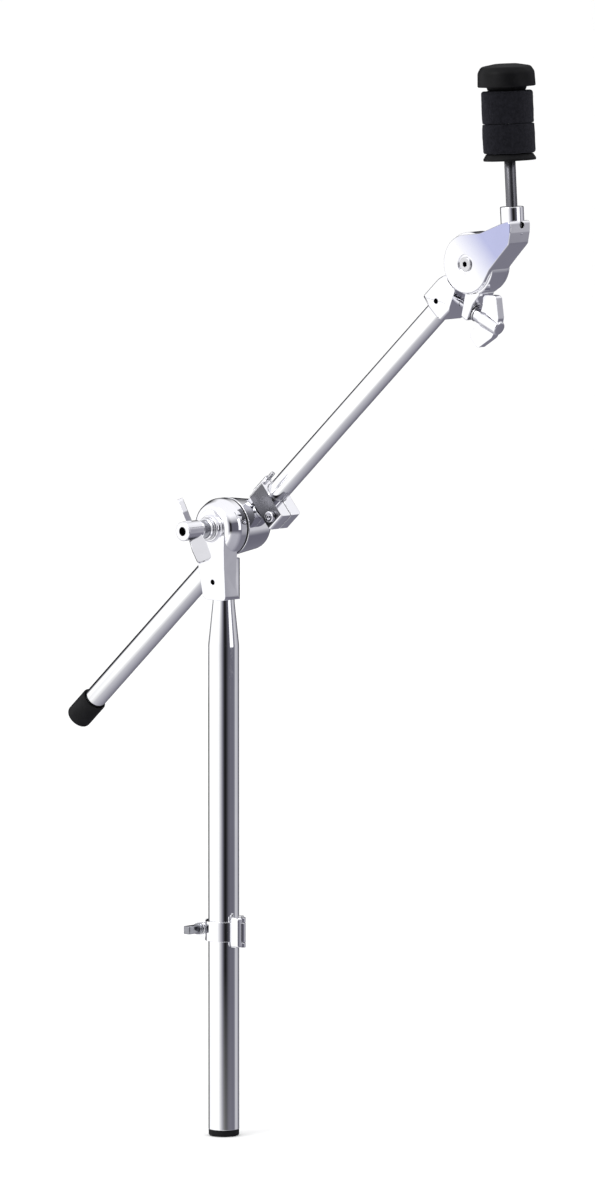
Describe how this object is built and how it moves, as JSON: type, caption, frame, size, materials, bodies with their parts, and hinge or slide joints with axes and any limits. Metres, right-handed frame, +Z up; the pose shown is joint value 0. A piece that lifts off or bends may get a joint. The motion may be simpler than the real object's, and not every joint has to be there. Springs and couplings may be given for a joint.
{
  "type": "cymbal boom stand",
  "caption": "Chrome boom arm for a cymbal: tapered lower tube, friction boom tilter with wing nut, sliding boom, memory locks, cymbal tilter, felts and screw knob.",
  "frame": {"origin": "centre of the lower tube's bottom end face", "axes": "+Z up along the lower tube; the boom swings in a plane parallel to X-Z, 26.6 mm behind the tube, and rises toward +X at rest; the boom tilter's wing nut is on the -Y side"},
  "size_m": [0.4499, 0.0894, 0.7845],
  "materials": {
    "chrome_tube": "polished chrome plate on steel tube",
    "chrome_cast": "bright chrome plate on die-cast zinc",
    "dark_chrome": "darker plated threaded rod",
    "steel_hardware": "nickel-plated steel fasteners",
    "black_rubber": "satin black rubber",
    "black_plastic": "moulded black plastic, satin",
    "friction_fibre": "dark friction composite",
    "white_nylon": "natural nylon",
    "charcoal_felt": "pressed wool felt, charcoal black",
    "brass_insert": "machined brass"
  },
  "bodies": {
    "post": {"lower_tube": "chrome_tube", "lower_tube_plug": "black_rubber", "tilter_base": "chrome_cast", "base_roll_pin": "steel_hardware", "friction_disc": "friction_fibre", "release_spring": "steel_hardware"},
    "post_lock": {"lower_lock_body": "chrome_cast", "lower_lock_hinge_pin": "steel_hardware", "lower_lock_washer": "steel_hardware"},
    "post_lock_jaw": {"lower_lock_jaw": "chrome_cast"},
    "post_lock_screw": {"lower_lock_screw": "steel_hardware"},
    "boom_carrier": {"boom_clamp": "chrome_cast", "boom_bush_lower": "white_nylon", "boom_bush_upper": "white_nylon", "eye_bolt": "steel_hardware"},
    "nut_washer": {"wing_nut_washer": "steel_hardware"},
    "nut": {"wing_nut": "chrome_cast"},
    "boom": {"boom_tube": "chrome_tube", "boom_end_cap": "black_rubber", "boom_socket": "chrome_cast", "socket_roll_pin": "steel_hardware"},
    "boom_lock": {"boom_lock_body": "chrome_cast", "boom_lock_hinge_pin": "steel_hardware"},
    "boom_lock_clamp": {"boom_lock_jaw": "chrome_cast"},
    "boom_lock_key_screw": {"boom_lock_screw": "steel_hardware"},
    "pinch_washer": {"wing_bolt_washer": "steel_hardware"},
    "pinch_bolt": {"wing_bolt": "chrome_cast"},
    "cymbal_head": {"tilter_head": "chrome_cast", "tilter_back_plate": "chrome_cast", "tilter_drum": "steel_hardware", "pivot_screw": "steel_hardware", "pivot_nut": "steel_hardware", "cymbal_rod": "dark_chrome", "rod_set_screw": "steel_hardware", "cup_washer": "black_plastic", "cymbal_sleeve": "white_nylon", "lower_felt": "charcoal_felt"},
    "top_felt": {"upper_felt": "charcoal_felt"},
    "knob": {"cymbal_knob": "black_plastic", "knob_insert": "brass_insert"}
  },
  "joints": [
    {"name": "boom_tilt", "type": "hinge", "parent": "post", "child": "boom_carrier", "pos_m": [0, 0.0266, 0.44], "axis": [0, -1, 0], "range_deg": [-96, 192]},
    {"name": "boom_slide", "type": "slide", "parent": "boom_carrier", "child": "boom", "axis": [0.7455, 0, 0.6665], "range_m": [0, 0.186]},
    {"name": "head_tilt", "type": "hinge", "parent": "boom", "child": "cymbal_head", "pos_m": [0.22231, 0.0266, 0.64145], "axis": [0, -1, 0], "range_deg": [-40, 90]},
    {"name": "post_lock_slide", "type": "slide", "parent": "post", "child": "post_lock", "axis": [0, 0, 1], "range_m": [-0.12, 0.19]},
    {"name": "post_lock_open", "type": "hinge", "parent": "post_lock", "child": "post_lock_jaw", "pos_m": [0.0174, 0, 0.1487], "axis": [0, 0, -1], "range_deg": [0, 2.6]},
    {"name": "post_lock_screw_turn", "type": "hinge", "parent": "post_lock", "child": "post_lock_screw", "pos_m": [-0.0186, 0, 0.1487], "axis": [0, -1, 0], "range_deg": [0, 720]},
    {"name": "boom_lock_slide", "type": "slide", "parent": "boom", "child": "boom_lock", "axis": [0.7455, 0, 0.6665], "range_m": [0, 0.15]},
    {"name": "boom_lock_open", "type": "hinge", "parent": "boom_lock", "child": "boom_lock_clamp", "pos_m": [0.01332, 0.0266, 0.46921], "axis": [0.7455, 0, 0.6665], "range_deg": [0, 3.4]},
    {"name": "boom_lock_screw_turn", "type": "hinge", "parent": "boom_lock", "child": "boom_lock_key_screw", "pos_m": [0.03178, 0.0266, 0.44856], "axis": [0, -1, 0], "range_deg": [0, 720]},
    {"name": "nut_washer_slide", "type": "slide", "parent": "boom_carrier", "child": "nut_washer", "axis": [0, -1, 0], "range_m": [0, 0.00505]},
    {"name": "wing_nut_turn", "type": "hinge", "parent": "nut_washer", "child": "nut", "pos_m": [0, -0.0184, 0.44], "axis": [0, -1, 0], "range_deg": [0, 1440]},
    {"name": "pinch_washer_slide", "type": "slide", "parent": "boom", "child": "pinch_washer", "axis": [0.9063, 0, -0.4226], "range_m": [0, 0.00305]},
    {"name": "wing_bolt_turn", "type": "hinge", "parent": "pinch_washer", "child": "pinch_bolt", "pos_m": [0.21041, 0.0266, 0.61185], "axis": [0.9063, 0, -0.4226], "range_deg": [0, 1080]},
    {"name": "top_felt_lift", "type": "slide", "parent": "cymbal_head", "child": "top_felt", "axis": [-0.061, 0, 0.9981], "range_m": [0, 0.00755]},
    {"name": "knob_turn", "type": "hinge", "parent": "top_felt", "child": "knob", "pos_m": [0.25831, 0.0266, 0.64145], "axis": [-0.061, 0, 0.9981], "range_deg": [0, 2160]}
  ],
  "couplings": [
    {"joint": "post_lock_open", "follows": "post_lock_screw_turn", "ratio": 0.0035368},
    {"joint": "boom_lock_open", "follows": "boom_lock_screw_turn", "ratio": 0.0045965},
    {"joint": "nut_washer_slide", "follows": "wing_nut_turn", "m_per_rad": 0.00019894},
    {"joint": "pinch_washer_slide", "follows": "wing_bolt_turn", "m_per_rad": 0.00015915},
    {"joint": "top_felt_lift", "follows": "knob_turn", "m_per_rad": 0.00019894}
  ]
}
